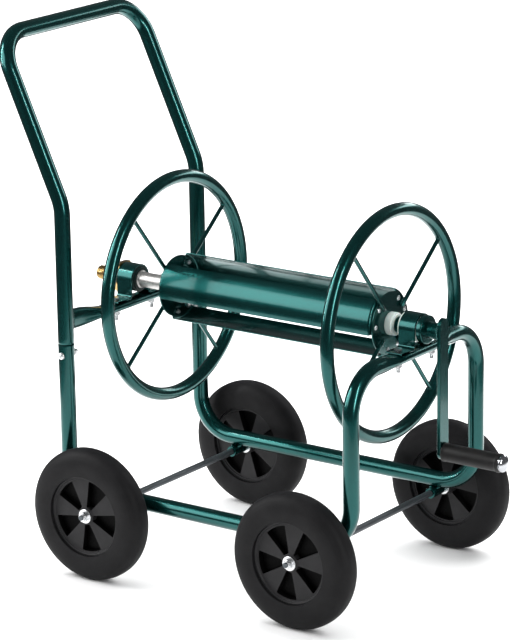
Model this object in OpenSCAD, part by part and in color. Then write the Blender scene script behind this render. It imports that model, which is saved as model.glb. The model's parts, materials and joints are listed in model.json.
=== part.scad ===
// Garden hose reel cart: a welded tube frame on four wheels, a bolted-on push handle,
// and a hose reel that a hand crank turns in two strap bearings.
// Millimetres. X runs along the reel's axis from the handle to the crank, Z is up, and the
// origin is on the floor under the middle of the cart. "Right" is the -Y side, "left" the +Y side.

/* [Wheels] */
// Outside diameter of a tyre
wheel_d = 250; // [240:1:254]
// Width of a tyre
tyre_w = 52; // [46:1:52]
// Distance between the two axles
wheelbase = 458; // [440:1:480]
// Distance between the middle planes of the left and right wheels
track = 507; // [505:1:515]
// Diameter of the axle rods
axle_d = 12.7; // [12:0.1:13]

/* [Frame] */
// Outside diameter of the frame and handle tubes
tube_d = 30; // [28:0.5:31]
// Wall of the frame and handle tubes
tube_wall = 1.5; // [1.2:0.1:2]
// Length of the frame between the axes of its rear and front legs
frame_len = 632; // [630:1:640]
// Width of the frame between its side tubes' axes
frame_w = 408; // [404:1:410]
// Height of the lower tubes' axes
base_z = 149; // [149:1:150]
// Height of the front crossbar's axis
saddle_z = 461; // [458:1:463]
// Bend radius of the frame tubes
bend_r = 75; // [65:1:80]
// Height of the top rim of the frame's rear legs, where the handle plugs in
joint_z = 424; // [415:1:428]

/* [Handle] */
// Height of the axis of the handle's top bar
handle_z = 985; // [900:5:1050]
// Height at which the handle's legs lean back
lean_z = 685; // [650:5:720]
// How far the top bar stands back from the legs
lean_x = 138; // [80:2:160]
// Bend radius where the legs lean back
lean_r = 85; // [70:5:100]
// Bend radius of the top corners
corner_r = 68; // [55:1:80]

/* [Reel] */
// Height of the reel's axis
reel_z = 504; // [500:1:506]
// Radius of the reel rings at their tube's axis
ring_r = 205.5; // [190:0.5:212]
// Diameter of the ring tube
ring_tube_d = 25; // [22:0.5:26]
// Wall of the ring tube
ring_wall = 1.5; // [1:0.1:2]
// Distance between the two rings
reel_len = 483; // [470:1:486]
// How far the reel's middle lies ahead of the wheels' middle
reel_ahead = 26.5; // [24:0.5:27]
// Outside radius of the three drum panels
panel_r = 63.5; // [60:0.5:66]
// Angle that each drum panel covers
panel_arc = 62; // [56:1:66]
// Radius of the drum's end discs
disc_r = 58; // [57:0.5:59]
// Diameter of the spokes
spoke_d = 8; // [7:0.5:9]
// Direction of the first spoke, from +Y towards +Z
spoke_angle = 39; // [35:1:45]
// Direction of the middle of the first panel, from +Y towards +Z
panel_angle = 38; // [34:1:42]

/* [Crank] */
// Distance from the reel's axis to the grip's axis
crank_r = 221; // [200:1:225]
// Width of the crank's flat bar
arm_w = 28; // [24:1:30]
// Thickness of the crank's flat bar
arm_t = 7; // [6:0.5:8]
// Diameter of the grip
grip_d = 33; // [28:1:36]
// Length of the grip
grip_len = 118; // [105:1:120]

/* [Hidden] */
$fn = 96;

// Colours
PAINT = "#1f5650";
TYRE = "#242426";
RIM = "#1b1b1d";
ZINC = "#c4c6c8";
STEEL = "#4b5156";
ALLOY = "#b9b7b3";
BRASS = "#c09a55";
NYLON = "#dfe6e2";
BLACK = "#1a1a1b";

tube_r = tube_d / 2;
side_y = frame_w / 2;
wheel_r = wheel_d / 2;
wheel_y = track / 2;
fit = 0.05;                // radial clearance of every running fit
weld_gap = 0.02;           // clearance that keeps welded neighbours from overlapping

// Widths of the crank's pieces along X, from the frame's front leg outwards
strap_w = 34;
collar_w = 11.5;
arm_back = 55;             // from the front legs' axis to the back of the crank arm
cap_len = 11;

// The footprint from the handle's top bar to the crank's end cap is centred on the origin
reach_rear = frame_len / 2 + lean_x + tube_r;
reach_front = frame_len / 2 + arm_back + arm_t + 1 + grip_len + cap_len;
mid_x = (reach_rear - reach_front) / 2;
rear_x = mid_x - frame_len / 2;
front_x = mid_x + frame_len / 2;
ring_x = [mid_x + reel_ahead - reel_len / 2, mid_x + reel_ahead + reel_len / 2];

// Flattened seats of the two crossbars
seat_w = 37;
seat_t = 18;
seat_y = 80;
seat_top = saddle_z + seat_t / 2;

// Strap bearings
strap_r = 28;
strap_t = 3.5;
strap_bend = 5;
strap_foot = 68;
strap_bolt_y = 54;
bolt_r = 4;                // M8
bush_r = strap_r - strap_t;

// Reel hardware
disc_t = 3;
panel_t = 2;
flange_r = 40;
screw_pcd_r = 48;
screw_spread = 19;
screw_r = 2.5;
shaft_r = 15;
journal_r = 17;
pipe_r = 14.3;
hose_thread_r = 13.3;      // 3/4 inch garden hose thread
water_r = 8;
nose_r = 10;
disc_face = [ring_x[0] + spoke_d / 2, ring_x[1] - spoke_d / 2];   // outer faces of the discs
arm_x = front_x + arm_back;
grip_z = reel_z - crank_r;
spindle_r = 5;

// Wheels and axles
rim_r = 76;
hub_r = 16;
hub_out = 17.5;
hub_in = 25.5;
sleeve_r = 10;
thread_r = 5;              // M10 ends of the axles
washer_r = 13.5;
washer_t = 1.6;
axle_end = wheel_y + hub_out + 0.3;   // where the washers clamp, just past the hubs

function unit(v) = v / norm(v);
function across(u) = unit(cross(abs(u[2]) < 0.9 ? [0, 0, 1] : [1, 0, 0], u));
function turn(a, b, c) = acos(unit(b - a) * unit(c - b));
function setback(a, b, c, r) = r * tan(turn(a, b, c) / 2);
module placed(o, x, y, z)
    multmatrix([
        [x[0], y[0], z[0], o[0]],
        [x[1], y[1], z[1], o[1]],
        [x[2], y[2], z[2], o[2]],
        [0, 0, 0, 1]
    ])
        children();

// Cross-section of a tube
module section(r, wall)
    difference() {
        circle(r = r);
        circle(r = r - wall);
    }

// A straight tube from a to b
module straight(a, b, r, wall) {
    u = unit(b - a);
    s = across(u);
    placed(a, s, cross(u, s), u)
        linear_extrude(norm(b - a))
            section(r, wall);
}

// The bend at b of a tube that comes from a and goes on to c
module bend(a, b, c, bend_radius, r, wall) {
    u = unit(b - a);
    v = unit(c - b);
    n = unit(v - (u * v) * u);
    o = b - u * setback(a, b, c, bend_radius) + n * bend_radius;
    placed(o, -n, u, cross(-n, u))
        rotate_extrude(angle = turn(a, b, c))
            translate([bend_radius, 0])
                section(r, wall);
}

// A tube through the points p, with one bend radius for each inner point
module bent_tube(p, radii, r, wall) {
    n = len(p) - 1;
    for (i = [0:n - 1]) {
        u = unit(p[i + 1] - p[i]);
        from = i == 0 ? p[0] : p[i] + u * setback(p[i - 1], p[i], p[i + 1], radii[i - 1]);
        to = i == n - 1 ? p[n] : p[i + 1] - u * setback(p[i], p[i + 1], p[i + 2], radii[i]);
        straight(from, to, r, wall);
    }
    for (i = [1:n - 1])
        bend(p[i - 1], p[i], p[i + 1], radii[i - 1], r, wall);
}

module on_reel_axis()
    translate([0, 0, reel_z])
        rotate([0, 90, 0])
            children();

// A cylinder on the reel's axis from x = from to x = to
module reel_cylinder(from, to, r)
    on_reel_axis()
        translate([0, 0, from])
            cylinder(r = r, h = to - from);

module reel_tube(from, to, r, bore)
    difference() {
        reel_cylinder(from, to, r);
        reel_cylinder(from - 1, to + 1, bore);
    }

// Turned about the reel's axis to a direction given from +Y towards +Z
module at_reel_angle(angle)
    on_reel_axis()
        rotate([0, 0, angle + 90])
            children();

module oval(w, h) {
    r = min(w, h) / 2;
    square([max(w - 2 * r, 0.001), h], center = true);
    square([w, max(h - 2 * r, 0.001)], center = true);
    for (s = [-1, 1])
        translate([s * (w / 2 - r), s * (h / 2 - r)])
            circle(r = r);
}

module dome(r, h) {
    ball = (r * r + h * h) / (2 * h);
    rotate_extrude()
        intersection() {
            translate([0, h - ball])
                circle(r = ball);
            square([r, h]);
        }
}

module hex(flats, h) {
    corner = flats / sqrt(3);
    intersection() {
        cylinder(r = corner, h = h, $fn = 6);
        rotate_extrude()
            polygon([[0, 0], [flats / 2, 0], [corner, h * 0.12], [corner, h * 0.88], [flats / 2, h], [0, h]]);
    }
}

module hex_nut(flats, h, bore)
    difference() {
        hex(flats, h);
        translate([0, 0, -1])
            cylinder(r = bore, h = h + 2);
    }

module ring_washer(r, bore, h)
    difference() {
        cylinder(r = r, h = h);
        translate([0, 0, -1])
            cylinder(r = bore, h = h + 2);
    }

// Frame ---------------------------------------------------------------------------------

// One continuous tube: rear leg, lower rail, front leg and its share of the front hoop
module frame_side(side)
    color(PAINT)
        difference() {
            bent_tube([
                [rear_x, side * side_y, joint_z],
                [rear_x, side * side_y, base_z],
                [front_x, side * side_y, base_z],
                [front_x, side * side_y, saddle_z],
                [front_x, side * (seat_y + 24), saddle_z]
            ], [bend_r, bend_r, bend_r], tube_r, tube_wall);
            handle_bolt_hole(side);
            for (end = [-1, 1])
                axle_line(end, sleeve_r + weld_gap);
        }

module frame_tube_right() frame_side(-1);
module frame_tube_left() frame_side(1);

// A slice across a crossbar, w wide along X and h high
module slice(y, w, h, lift)
    translate([0, y, lift])
        rotate([90, 0, 0])
            linear_extrude(0.01, center = true)
                oval(w, h);

// A tube along Y whose middle is pressed flat as a seat, and whose ends keep another section
module pressed_tube(end_y, end_w, end_h, end_lift, inset) {
    rotate([90, 0, 0])
        linear_extrude(2 * seat_y, center = true)
            oval(seat_w - 2 * inset, seat_t - 2 * inset);
    for (side = [-1, 1])
        hull() {
            slice(side * seat_y, seat_w - 2 * inset, seat_t - 2 * inset, 0);
            slice(side * end_y, end_w - 2 * inset, end_h - 2 * inset, end_lift);
        }
}

module strap_bolt_holes()
    for (side = [-1, 1])
        translate([0, side * strap_bolt_y, -50])
            cylinder(r = bolt_r + 0.2, h = 100);

module front_crossbar()
    color(PAINT)
        translate([front_x, 0, saddle_z])
            difference() {
                pressed_tube(seat_y + 24 - weld_gap, tube_d, tube_d, 0, 0);
                pressed_tube(seat_y + 25, tube_d, tube_d, 0, tube_wall);
                strap_bolt_holes();
            }

rear_end_h = 38;
rear_end_w = 19;
rear_end_lift = 6;

module rear_crossbar()
    color(PAINT)
        difference() {
            translate([rear_x, 0, saddle_z])
                difference() {
                    pressed_tube(side_y, rear_end_w, rear_end_h, rear_end_lift, 0);
                    pressed_tube(side_y + 1, rear_end_w, rear_end_h, rear_end_lift, tube_wall);
                    strap_bolt_holes();
                }
            for (side = [-1, 1])
                translate([rear_x, side * side_y, joint_z])
                    cylinder(r = tube_r + weld_gap, h = 120);
        }

// The line of one axle, as a cutter or a rod
module axle_line(end, r)
    translate([mid_x + end * wheelbase / 2, 0, wheel_r])
        rotate([90, 0, 0])
            cylinder(r = r, h = track, center = true);

// Short tubes welded under the lower rails, which carry the axles
module axle_sleeves()
    color(PAINT)
        for (end = [-1, 1], side = [-1, 1])
            translate([mid_x + end * wheelbase / 2, side * side_y, wheel_r])
                rotate([90, 0, 0])
                    difference() {
                        cylinder(r = sleeve_r, h = 2 * (wheel_y - hub_in - washer_t - 0.8 - side_y), center = true);
                        cylinder(r = axle_d / 2 + fit, h = 80, center = true);
                    }

// Handle --------------------------------------------------------------------------------

bolt_z = joint_z - 20;
neck_r = tube_r - tube_wall - 0.2;
neck_len = 52;
swage_h = 5;

module handle_bolt_hole(side)
    translate([rear_x, side * side_y, bolt_z])
        rotate([90, 0, 0])
            cylinder(r = bolt_r + 0.1, h = 40, center = true);

lean = atan2(lean_x, handle_z - lean_z);
lean_setback = lean_r * tan(lean / 2);
leg_top = lean_z - lean_setback;
lean_len = norm([lean_x, handle_z - lean_z]) - lean_setback;
butt_gap = 0.05;

// The reduced lower end of a handle leg, which goes down inside the frame's leg
module neck()
    rotate_extrude()
        polygon([
            [neck_r - tube_wall, -neck_len],
            [neck_r, -neck_len],
            [neck_r, 0],
            [tube_r, swage_h],
            [tube_r - tube_wall, swage_h],
            [neck_r - tube_wall, 0]
        ]);

// The upright part of a handle leg and the bend where it leans back
module handle_leg()
    union() {
        translate([0, 0, joint_z])
            neck();
        translate([0, 0, joint_z + swage_h])
            linear_extrude(leg_top - joint_z - swage_h)
                section(tube_r, tube_wall);
        translate([-lean_r, 0, leg_top])
            rotate([90, 0, 0])
                rotate_extrude(angle = lean)
                    translate([lean_r, 0])
                        section(tube_r, tube_wall);
    }

// Puts its children where the legs begin to lean, with their Z along the leaning legs
module leaned()
    translate([rear_x - lean_r, 0, leg_top])
        rotate([0, -lean, 0])
            translate([lean_r, 0, 0])
                children();

// One bent tube: two legs that plug into the frame, lean back, and meet in the top bar
module handle()
    color(PAINT)
        difference() {
            union() {
                for (side = [-1, 1])
                    translate([rear_x, side * side_y, 0])
                        handle_leg();
                leaned()
                    bent_tube([
                        [0, -side_y, butt_gap],
                        [0, -side_y, lean_len],
                        [0, side_y, lean_len],
                        [0, side_y, butt_gap]
                    ], [corner_r, corner_r], tube_r, tube_wall);
                leaned()
                    for (side = [-1, 1])
                        translate([0, side * side_y, -2])
                            linear_extrude(4)
                                section(tube_r - 0.4, tube_wall - 0.8);
            }
            for (side = [-1, 1])
                handle_bolt_hole(side);
        }

// Along the handle bolts, from outside the cart inwards
module at_handle_bolts()
    for (side = [-1, 1])
        translate([rear_x, side * (side_y + tube_r), bolt_z])
            rotate([side * 90, 0, 0])
                children();

module handle_bolts()
    color(ZINC)
        at_handle_bolts() {
            cylinder(r = bolt_r, h = tube_d + 15);
            mirror([0, 0, 1])
                dome(7, 4.5);
        }

module handle_nuts()
    color(ZINC)
        at_handle_bolts()
            translate([0, 0, tube_d]) {
                ring_washer(8, bolt_r, 1.6);
                translate([0, 0, 1.6])
                    hex_nut(13, 6.5, bolt_r);
            }

// Strap bearings --------------------------------------------------------------------------

// Half of the strap's outline, seen along X, with the reel's axis at its origin
module strap_half(drop) {
    intersection() {
        difference() {
            circle(r = strap_r);
            circle(r = bush_r);
        }
        square([strap_r, strap_r]);
    }
    translate([bush_r, strap_bend + strap_t - drop])
        square([strap_t, drop - strap_bend - strap_t]);
    translate([strap_r + strap_bend, strap_bend + strap_t - drop])
        intersection() {
            difference() {
                circle(r = strap_bend + strap_t);
                circle(r = strap_bend);
            }
            translate([-strap_bend - strap_t, -strap_bend - strap_t])
                square(strap_bend + strap_t);
        }
    translate([strap_r + strap_bend, -drop])
        square([strap_foot - strap_r - strap_bend, strap_t]);
}

module bearing_strap(x)
    color(PAINT)
        difference() {
            translate([x - strap_w / 2, 0, reel_z])
                rotate([90, 0, 90])
                    linear_extrude(strap_w) {
                        strap_half(reel_z - seat_top);
                        mirror([1, 0])
                            strap_half(reel_z - seat_top);
                    }
            translate([x, 0, seat_top])
                strap_bolt_holes();
        }

module front_bearing_strap() bearing_strap(front_x);
module rear_bearing_strap() bearing_strap(rear_x);

module at_strap_bolts()
    for (x = [rear_x, front_x], side = [-1, 1])
        translate([x, side * strap_bolt_y, seat_top])
            children();

module strap_bolts()
    color(ZINC)
        at_strap_bolts() {
            translate([0, 0, strap_t])
                hex(13, 5.3);
            translate([0, 0, -seat_t - 18])
                cylinder(r = bolt_r, h = seat_t + 18 + strap_t);
        }

module strap_nuts()
    color(ZINC)
        at_strap_bolts()
            translate([0, 0, -seat_t]) {
                mirror([0, 0, 1])
                    ring_washer(8, bolt_r, 1.6);
                translate([0, 0, -1.6 - 6.5])
                    hex_nut(13, 6.5, bolt_r);
            }

bush_end_front = front_x - strap_w / 2;
bush_end_rear = rear_x + strap_w / 2;

module front_bush()
    color(NYLON)
        difference() {
            union() {
                reel_cylinder(front_x - strap_w / 2, front_x + strap_w / 2, bush_r);
                reel_cylinder(bush_end_front - 5, bush_end_front, 20.5);
            }
            reel_cylinder(bush_end_front - 6, front_x + strap_w, shaft_r + fit);
        }

module rear_bush()
    color(BLACK)
        difference() {
            union() {
                reel_cylinder(rear_x - strap_w / 2, rear_x + strap_w / 2, bush_r);
                reel_cylinder(bush_end_rear, bush_end_rear + 3, 21);
            }
            reel_cylinder(rear_x - strap_w, bush_end_rear + 4, journal_r + fit);
        }

// Axles -----------------------------------------------------------------------------------

module axle(end)
    color(STEEL)
        translate([mid_x + end * wheelbase / 2, 0, wheel_r])
            rotate([90, 0, 0]) {
                cylinder(r = axle_d / 2, h = 2 * axle_end, center = true);
                cylinder(r = thread_r, h = 2 * (axle_end + 14), center = true);
            }

module front_axle() axle(1);
module rear_axle() axle(-1);

// At each wheel's middle, with +Z pointing out of the cart
module at_wheel(end, side)
    translate([mid_x + end * wheelbase / 2, side * wheel_y, wheel_r])
        rotate([-side * 90, 0, 0])
            children();

module at_each_wheel()
    for (end = [-1, 1], side = [-1, 1])
        at_wheel(end, side)
            children();

module axle_washers()
    color(ZINC)
        at_each_wheel() {
            translate([0, 0, hub_out + 0.3])
                ring_washer(washer_r, thread_r, washer_t);
            translate([0, 0, -hub_in - 0.3 - washer_t])
                ring_washer(washer_r, axle_d / 2, washer_t);
        }

module axle_nuts()
    color(ZINC)
        at_each_wheel()
            translate([0, 0, hub_out + 0.3 + washer_t]) {
                hex_nut(17, 6.5, thread_r);
                translate([0, 0, 6.5])
                    ring_washer(7.2, thread_r, 3);
            }

// Wheels ----------------------------------------------------------------------------------

// Half width of the tyre at a fraction f of its height, and its outline
tyre_steps = 18;
tyre_round = 0.72;
function bulge(f) = 1 - 0.12 * pow(1 - f, 2);
function half_width(a, f) = pow(cos(a), tyre_round) * bulge(f);
function widest() = max([for (a = [0:2:88]) half_width(a, pow(sin(a), tyre_round))]);
function tyre_outline() = [
    for (i = [0:tyre_steps])
        let (a = 180 * i / tyre_steps, f = pow(sin(a), tyre_round))
            [
                rim_r + (wheel_r - rim_r) * f,
                sign(cos(a)) * half_width(a < 90 ? a : 180 - a, f) / widest() * tyre_w / 2
            ]
];

module tyre(end, side)
    color(TYRE)
        at_wheel(end, side)
            rotate_extrude()
                polygon(tyre_outline());

pocket_n = 5;
pocket_arc = 37.5;
pocket_in = 17.5;
pocket_out = 68;
web_half = 15;
core_half = 3;

// The five wedge-shaped pockets in one face of a rim
module pockets(turned)
    for (k = [0:pocket_n - 1])
        rotate([0, 0, turned + k * 360 / pocket_n])
            intersection() {
                difference() {
                    cylinder(r = pocket_out, h = 40);
                    translate([0, 0, -1])
                        cylinder(r = pocket_in, h = 42);
                }
                linear_extrude(40)
                    polygon([
                        [0, 0],
                        [100, -100 * tan(pocket_arc / 2)],
                        [100, 100 * tan(pocket_arc / 2)]
                    ]);
            }

module rim(end, side, turned)
    color(RIM)
        at_wheel(end, side)
            difference() {
                union() {
                    cylinder(r = rim_r - 0.02, h = 2 * web_half, center = true);
                    difference() {
                        cylinder(r = rim_r - 0.02, h = 2 * (web_half + 3), center = true);
                        cylinder(r = rim_r - 5, h = 60, center = true);
                    }
                    translate([0, 0, -hub_in])
                        cylinder(r = hub_r, h = hub_in + hub_out);
                }
                translate([0, 0, core_half])
                    pockets(turned);
                translate([0, 0, -core_half])
                    mirror([0, 0, 1])
                        pockets(turned);
                cylinder(r = axle_d / 2 + fit, h = 100, center = true);
            }

module tyre_rear_right() tyre(-1, -1);
module tyre_rear_left() tyre(-1, 1);
module tyre_front_right() tyre(1, -1);
module tyre_front_left() tyre(1, 1);
module rim_rear_right() rim(-1, -1, 64);
module rim_rear_left() rim(-1, 1, 54);
module rim_front_right() rim(1, -1, 46);
module rim_front_left() rim(1, 1, 22);

// Reel ------------------------------------------------------------------------------------

module ring_torus(x, r)
    on_reel_axis()
        translate([0, 0, x])
            rotate_extrude()
                translate([ring_r, 0])
                    circle(r = r);

module reel_ring(x)
    color(PAINT)
        difference() {
            ring_torus(x, ring_tube_d / 2);
            ring_torus(x, ring_tube_d / 2 - ring_wall);
        }

module front_ring() reel_ring(ring_x[1]);
module rear_ring() reel_ring(ring_x[0]);

spoke_start = 39;

module spokes(x)
    color(PAINT)
        difference() {
            for (k = [0:3])
                at_reel_angle(spoke_angle + 90 * k)
                    translate([0, 0, x])
                        rotate([0, 90, 0])
                            translate([0, 0, spoke_start])
                                cylinder(r = spoke_d / 2, h = ring_r - spoke_start);
            ring_torus(x, ring_tube_d / 2 + weld_gap);
        }

module front_spokes() spokes(ring_x[1]);
module rear_spokes() spokes(ring_x[0]);

// Along each panel screw, from the disc's outer face inwards
module at_screws(end)
    for (k = [0:2], side = [-1, 1])
        at_reel_angle(panel_angle + 120 * k + side * screw_spread)
            translate([screw_pcd_r, 0, disc_face[end]])
                rotate([end == 1 ? 180 : 0, 0, 0])
                    children();

module drum_disc(end)
    color(PAINT)
        difference() {
            reel_cylinder(
                end == 1 ? disc_face[1] - disc_t : disc_face[0],
                end == 1 ? disc_face[1] : disc_face[0] + disc_t,
                disc_r
            );
            at_screws(end)
                translate([0, 0, -1])
                    cylinder(r = screw_r + 0.1, h = disc_t + 2);
            if (end == 1)
                reel_cylinder(disc_face[1] - 10, disc_face[1] + 10, shaft_r);
            else
                reel_cylinder(disc_face[0] - 10, disc_face[0] + 10, nose_r);
        }

module front_disc() drum_disc(1);
module rear_disc() drum_disc(0);

panel_x = [disc_face[0] + disc_t, disc_face[1] - disc_t];

// A curved sheet with its two ends folded in against the discs
module drum_panel(k)
    color(PAINT)
        difference() {
            at_reel_angle(panel_angle + 120 * k - panel_arc / 2)
                rotate_extrude(angle = panel_arc)
                    polygon([
                        [flange_r, panel_x[0]],
                        [panel_r, panel_x[0]],
                        [panel_r, panel_x[1]],
                        [flange_r, panel_x[1]],
                        [flange_r, panel_x[1] - panel_t],
                        [panel_r - panel_t, panel_x[1] - panel_t],
                        [panel_r - panel_t, panel_x[0] + panel_t],
                        [flange_r, panel_x[0] + panel_t]
                    ]);
            for (end = [0, 1])
                at_screws(end)
                    cylinder(r = screw_r + 0.1, h = 12);
        }

module drum_panel_1() drum_panel(0);
module drum_panel_2() drum_panel(1);
module drum_panel_3() drum_panel(2);

module panel_screws()
    color(ZINC)
        for (end = [0, 1])
            at_screws(end) {
                cylinder(r = screw_r, h = disc_t + panel_t + 7);
                mirror([0, 0, 1])
                    dome(4.4, 2.8);
            }

module panel_nuts()
    color(ZINC)
        for (end = [0, 1])
            at_screws(end)
                translate([0, 0, disc_t + panel_t])
                    hex_nut(8, 4, screw_r);

module crank_shaft()
    color(PAINT)
        reel_tube(disc_face[1] - 10, arm_x, shaft_r, shaft_r - 2.5);

module shaft_collar()
    color(PAINT)
        reel_tube(front_x + strap_w / 2 + 0.5, front_x + strap_w / 2 + 0.5 + collar_w, 26, shaft_r);

// Nylon ring that keeps the reel's disc off the bearing
module reel_spacer()
    color(NYLON)
        difference() {
            union() {
                reel_cylinder(disc_face[1], disc_face[1] + 13, 21);
                reel_cylinder(disc_face[1] + 13, disc_face[1] + 17, 18.5);
            }
            reel_cylinder(disc_face[1] - 1, disc_face[1] + 20, shaft_r);
        }

// The water's way in: a journal in the rear bearing, a barrel, and a threaded side outlet
outlet_x = disc_face[0] - 41;
outlet_len = 52;
journal_end = bush_end_rear + 5;
pipe_nose = rear_x - strap_w / 2 - 18;

module swivel_pipe()
    color(ALLOY)
        difference() {
            union() {
                reel_cylinder(rear_x - strap_w / 2, journal_end, journal_r);
                reel_cylinder(journal_end, disc_face[0] - 11, pipe_r);
                reel_cylinder(disc_face[0] - 11, disc_face[0], 18);
                reel_cylinder(disc_face[0] - 1, disc_face[0] + disc_t + 3, nose_r);
                reel_cylinder(pipe_nose, rear_x, nose_r);
                translate([outlet_x, 0, reel_z])
                    rotate([-90, 0, 0]) {
                        cylinder(r = pipe_r, h = 24);
                        translate([0, 0, 24])
                            cylinder(r = 16, h = 6);
                        cylinder(r = hose_thread_r, h = outlet_len);
                    }
            }
            reel_cylinder(pipe_nose - 1, outlet_x, water_r - 1);
            translate([outlet_x, 0, reel_z])
                rotate([-90, 0, 0])
                    cylinder(r = water_r - 1, h = outlet_len + 1);
            reel_tube(pipe_nose + 4, pipe_nose + 7, nose_r + 1, nose_r - 1.8);
        }

module swivel_seal()
    color(BLACK)
        reel_tube(pipe_nose + 4.1, pipe_nose + 6.9, nose_r - 0.02, nose_r - 1.78);

// Crank -----------------------------------------------------------------------------------

arm_top = 26;              // how far the arm's rounded end stands above the reel's axis

module crank_arm()
    color(PAINT)
        difference() {
            translate([arm_x, 0, 0])
                rotate([90, 0, 90])
                    linear_extrude(arm_t) {
                        translate([-arm_w / 2, grip_z])
                            square([arm_w, crank_r + arm_top - arm_w / 2]);
                        for (z = [grip_z, reel_z + arm_top - arm_w / 2])
                            translate([0, z])
                                circle(r = arm_w / 2);
                    }
            spindle(arm_x - 1, arm_x + arm_t + 1, spindle_r);
        }

module spindle(from, to, r)
    translate([from, 0, grip_z])
        rotate([0, 90, 0])
            cylinder(r = r, h = to - from);

grip_x = arm_x + arm_t + 0.5;
grip_end = grip_x + grip_len;
cap_end = grip_end + 0.5 + cap_len;

module grip_spindle()
    color(ZINC) {
        spindle(arm_x, cap_end - 5, spindle_r);
        translate([arm_x, 0, grip_z])
            rotate([0, -90, 0])
                dome(9, 5);
    }

module crank_grip()
    color(BLACK)
        difference() {
            union() {
                spindle(grip_x, grip_end, grip_d / 2);
                spindle(grip_x, grip_x + 4, grip_d / 2 + 1);
                spindle(grip_end - 5, grip_end, grip_d / 2 + 1);
            }
            spindle(grip_x - 1, grip_end + 1, spindle_r + fit);
        }

module grip_cap()
    color(ZINC)
        difference() {
            translate([grip_end + 0.5, 0, grip_z])
                rotate([0, 90, 0]) {
                    cylinder(r = 15.4, h = 4);
                    translate([0, 0, 4])
                        dome(15.4, cap_len - 4);
                }
            spindle(grip_end, cap_end - 5, spindle_r);
        }

// Water inlet: a brass coupling that swivels on the pipe's nose
inlet_face = rear_x - strap_w / 2 - 0.7;
inlet_end = rear_x - 78;

module water_inlet()
    color(BRASS)
        difference() {
            union() {
                translate([inlet_face, 0, reel_z])
                    rotate([0, -90, 0])
                        hex(56, 11);
                reel_cylinder(inlet_face - 28, inlet_face - 10, 17);
                reel_cylinder(inlet_face - 42, inlet_face - 28, 15.4);
                reel_cylinder(inlet_end, inlet_face - 28, hose_thread_r);
            }
            reel_cylinder(pipe_nose - 1, inlet_face + 1, nose_r + fit);
            reel_cylinder(inlet_end - 1, pipe_nose, water_r);
        }

frame_tube_right();
frame_tube_left();
front_crossbar();
rear_crossbar();
axle_sleeves();
handle();
handle_bolts();
handle_nuts();
front_bearing_strap();
rear_bearing_strap();
strap_bolts();
strap_nuts();
front_bush();
rear_bush();
front_axle();
rear_axle();
axle_washers();
axle_nuts();
front_ring();
rear_ring();
front_spokes();
rear_spokes();
front_disc();
rear_disc();
drum_panel_1();
drum_panel_2();
drum_panel_3();
panel_screws();
panel_nuts();
crank_shaft();
shaft_collar();
reel_spacer();
swivel_pipe();
swivel_seal();
crank_arm();
grip_spindle();
grip_cap();
crank_grip();
water_inlet();
tyre_rear_right();
tyre_rear_left();
tyre_front_right();
tyre_front_left();
rim_rear_right();
rim_rear_left();
rim_front_right();
rim_front_left();
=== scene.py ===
"""The looks of the garden hose reel cart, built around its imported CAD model. Metres, Z up."""

import json
import math
import bmesh
import bpy
from mathutils import Matrix, Vector, noise


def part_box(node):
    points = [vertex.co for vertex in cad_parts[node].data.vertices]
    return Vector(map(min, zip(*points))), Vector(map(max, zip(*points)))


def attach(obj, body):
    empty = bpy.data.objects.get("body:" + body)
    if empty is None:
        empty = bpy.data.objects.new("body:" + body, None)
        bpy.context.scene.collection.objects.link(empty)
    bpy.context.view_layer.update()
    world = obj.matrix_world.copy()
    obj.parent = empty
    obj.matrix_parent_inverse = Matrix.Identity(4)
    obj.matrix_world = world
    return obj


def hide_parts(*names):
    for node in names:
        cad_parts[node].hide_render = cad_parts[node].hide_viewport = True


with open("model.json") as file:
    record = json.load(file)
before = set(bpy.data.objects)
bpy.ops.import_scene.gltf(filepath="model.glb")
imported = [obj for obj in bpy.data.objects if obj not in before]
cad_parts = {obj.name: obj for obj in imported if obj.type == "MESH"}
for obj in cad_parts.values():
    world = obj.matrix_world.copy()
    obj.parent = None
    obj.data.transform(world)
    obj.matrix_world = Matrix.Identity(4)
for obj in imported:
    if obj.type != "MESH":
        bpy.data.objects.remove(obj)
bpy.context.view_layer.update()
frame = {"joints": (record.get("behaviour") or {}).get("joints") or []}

X, Y, Z = Vector((1, 0, 0)), Vector((0, 1, 0)), Vector((0, 0, 1))
JOINT = {j["name"]: j for j in frame["joints"]}
MM = 0.001

# Places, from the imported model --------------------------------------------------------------


def mid(node):
    low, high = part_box(node)
    return (low + high) / 2


def in_mm(pairs):
    return [(a * MM, b * MM) for a, b in pairs]


TUBE_R = 15 * MM
tube_low, tube_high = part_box("frame_tube_right")
REAR_X = tube_low.x + TUBE_R
FRONT_X = tube_high.x - TUBE_R
SIDE_Y = -tube_low.y - TUBE_R
BASE_Z = tube_low.z + TUBE_R
SADDLE_Z = tube_high.z - TUBE_R
REEL_Z = JOINT["reel_spin"]["pos_m"][2]
GRIP_Z = JOINT["grip_spin"]["pos_m"][2]
RING_TUBE_R = 12.5 * MM
RING_R = (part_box("front_ring")[1].z - REEL_Z) - RING_TUBE_R
RING_X = [mid("rear_ring").x, mid("front_ring").x]
DISC_FACE = [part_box("rear_disc")[0].x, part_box("front_disc")[1].x]
SEAT_TOP = SADDLE_Z + 9 * MM  # the flattened tubes that the straps stand on
STRAP_BOLT_Y = 54 * MM
STRAP_HALF = 17 * MM  # half the strap's width along X
JOINT_Z = 424 * MM  # where the handle plugs into the rear legs
BOLT_Z = mid("handle_bolts").z
AXLE_STUB = 14 * MM  # the threaded end of an axle
WASHER_H = 1.6 * MM

# Mesh helpers -------------------------------------------------------------------------------


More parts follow.
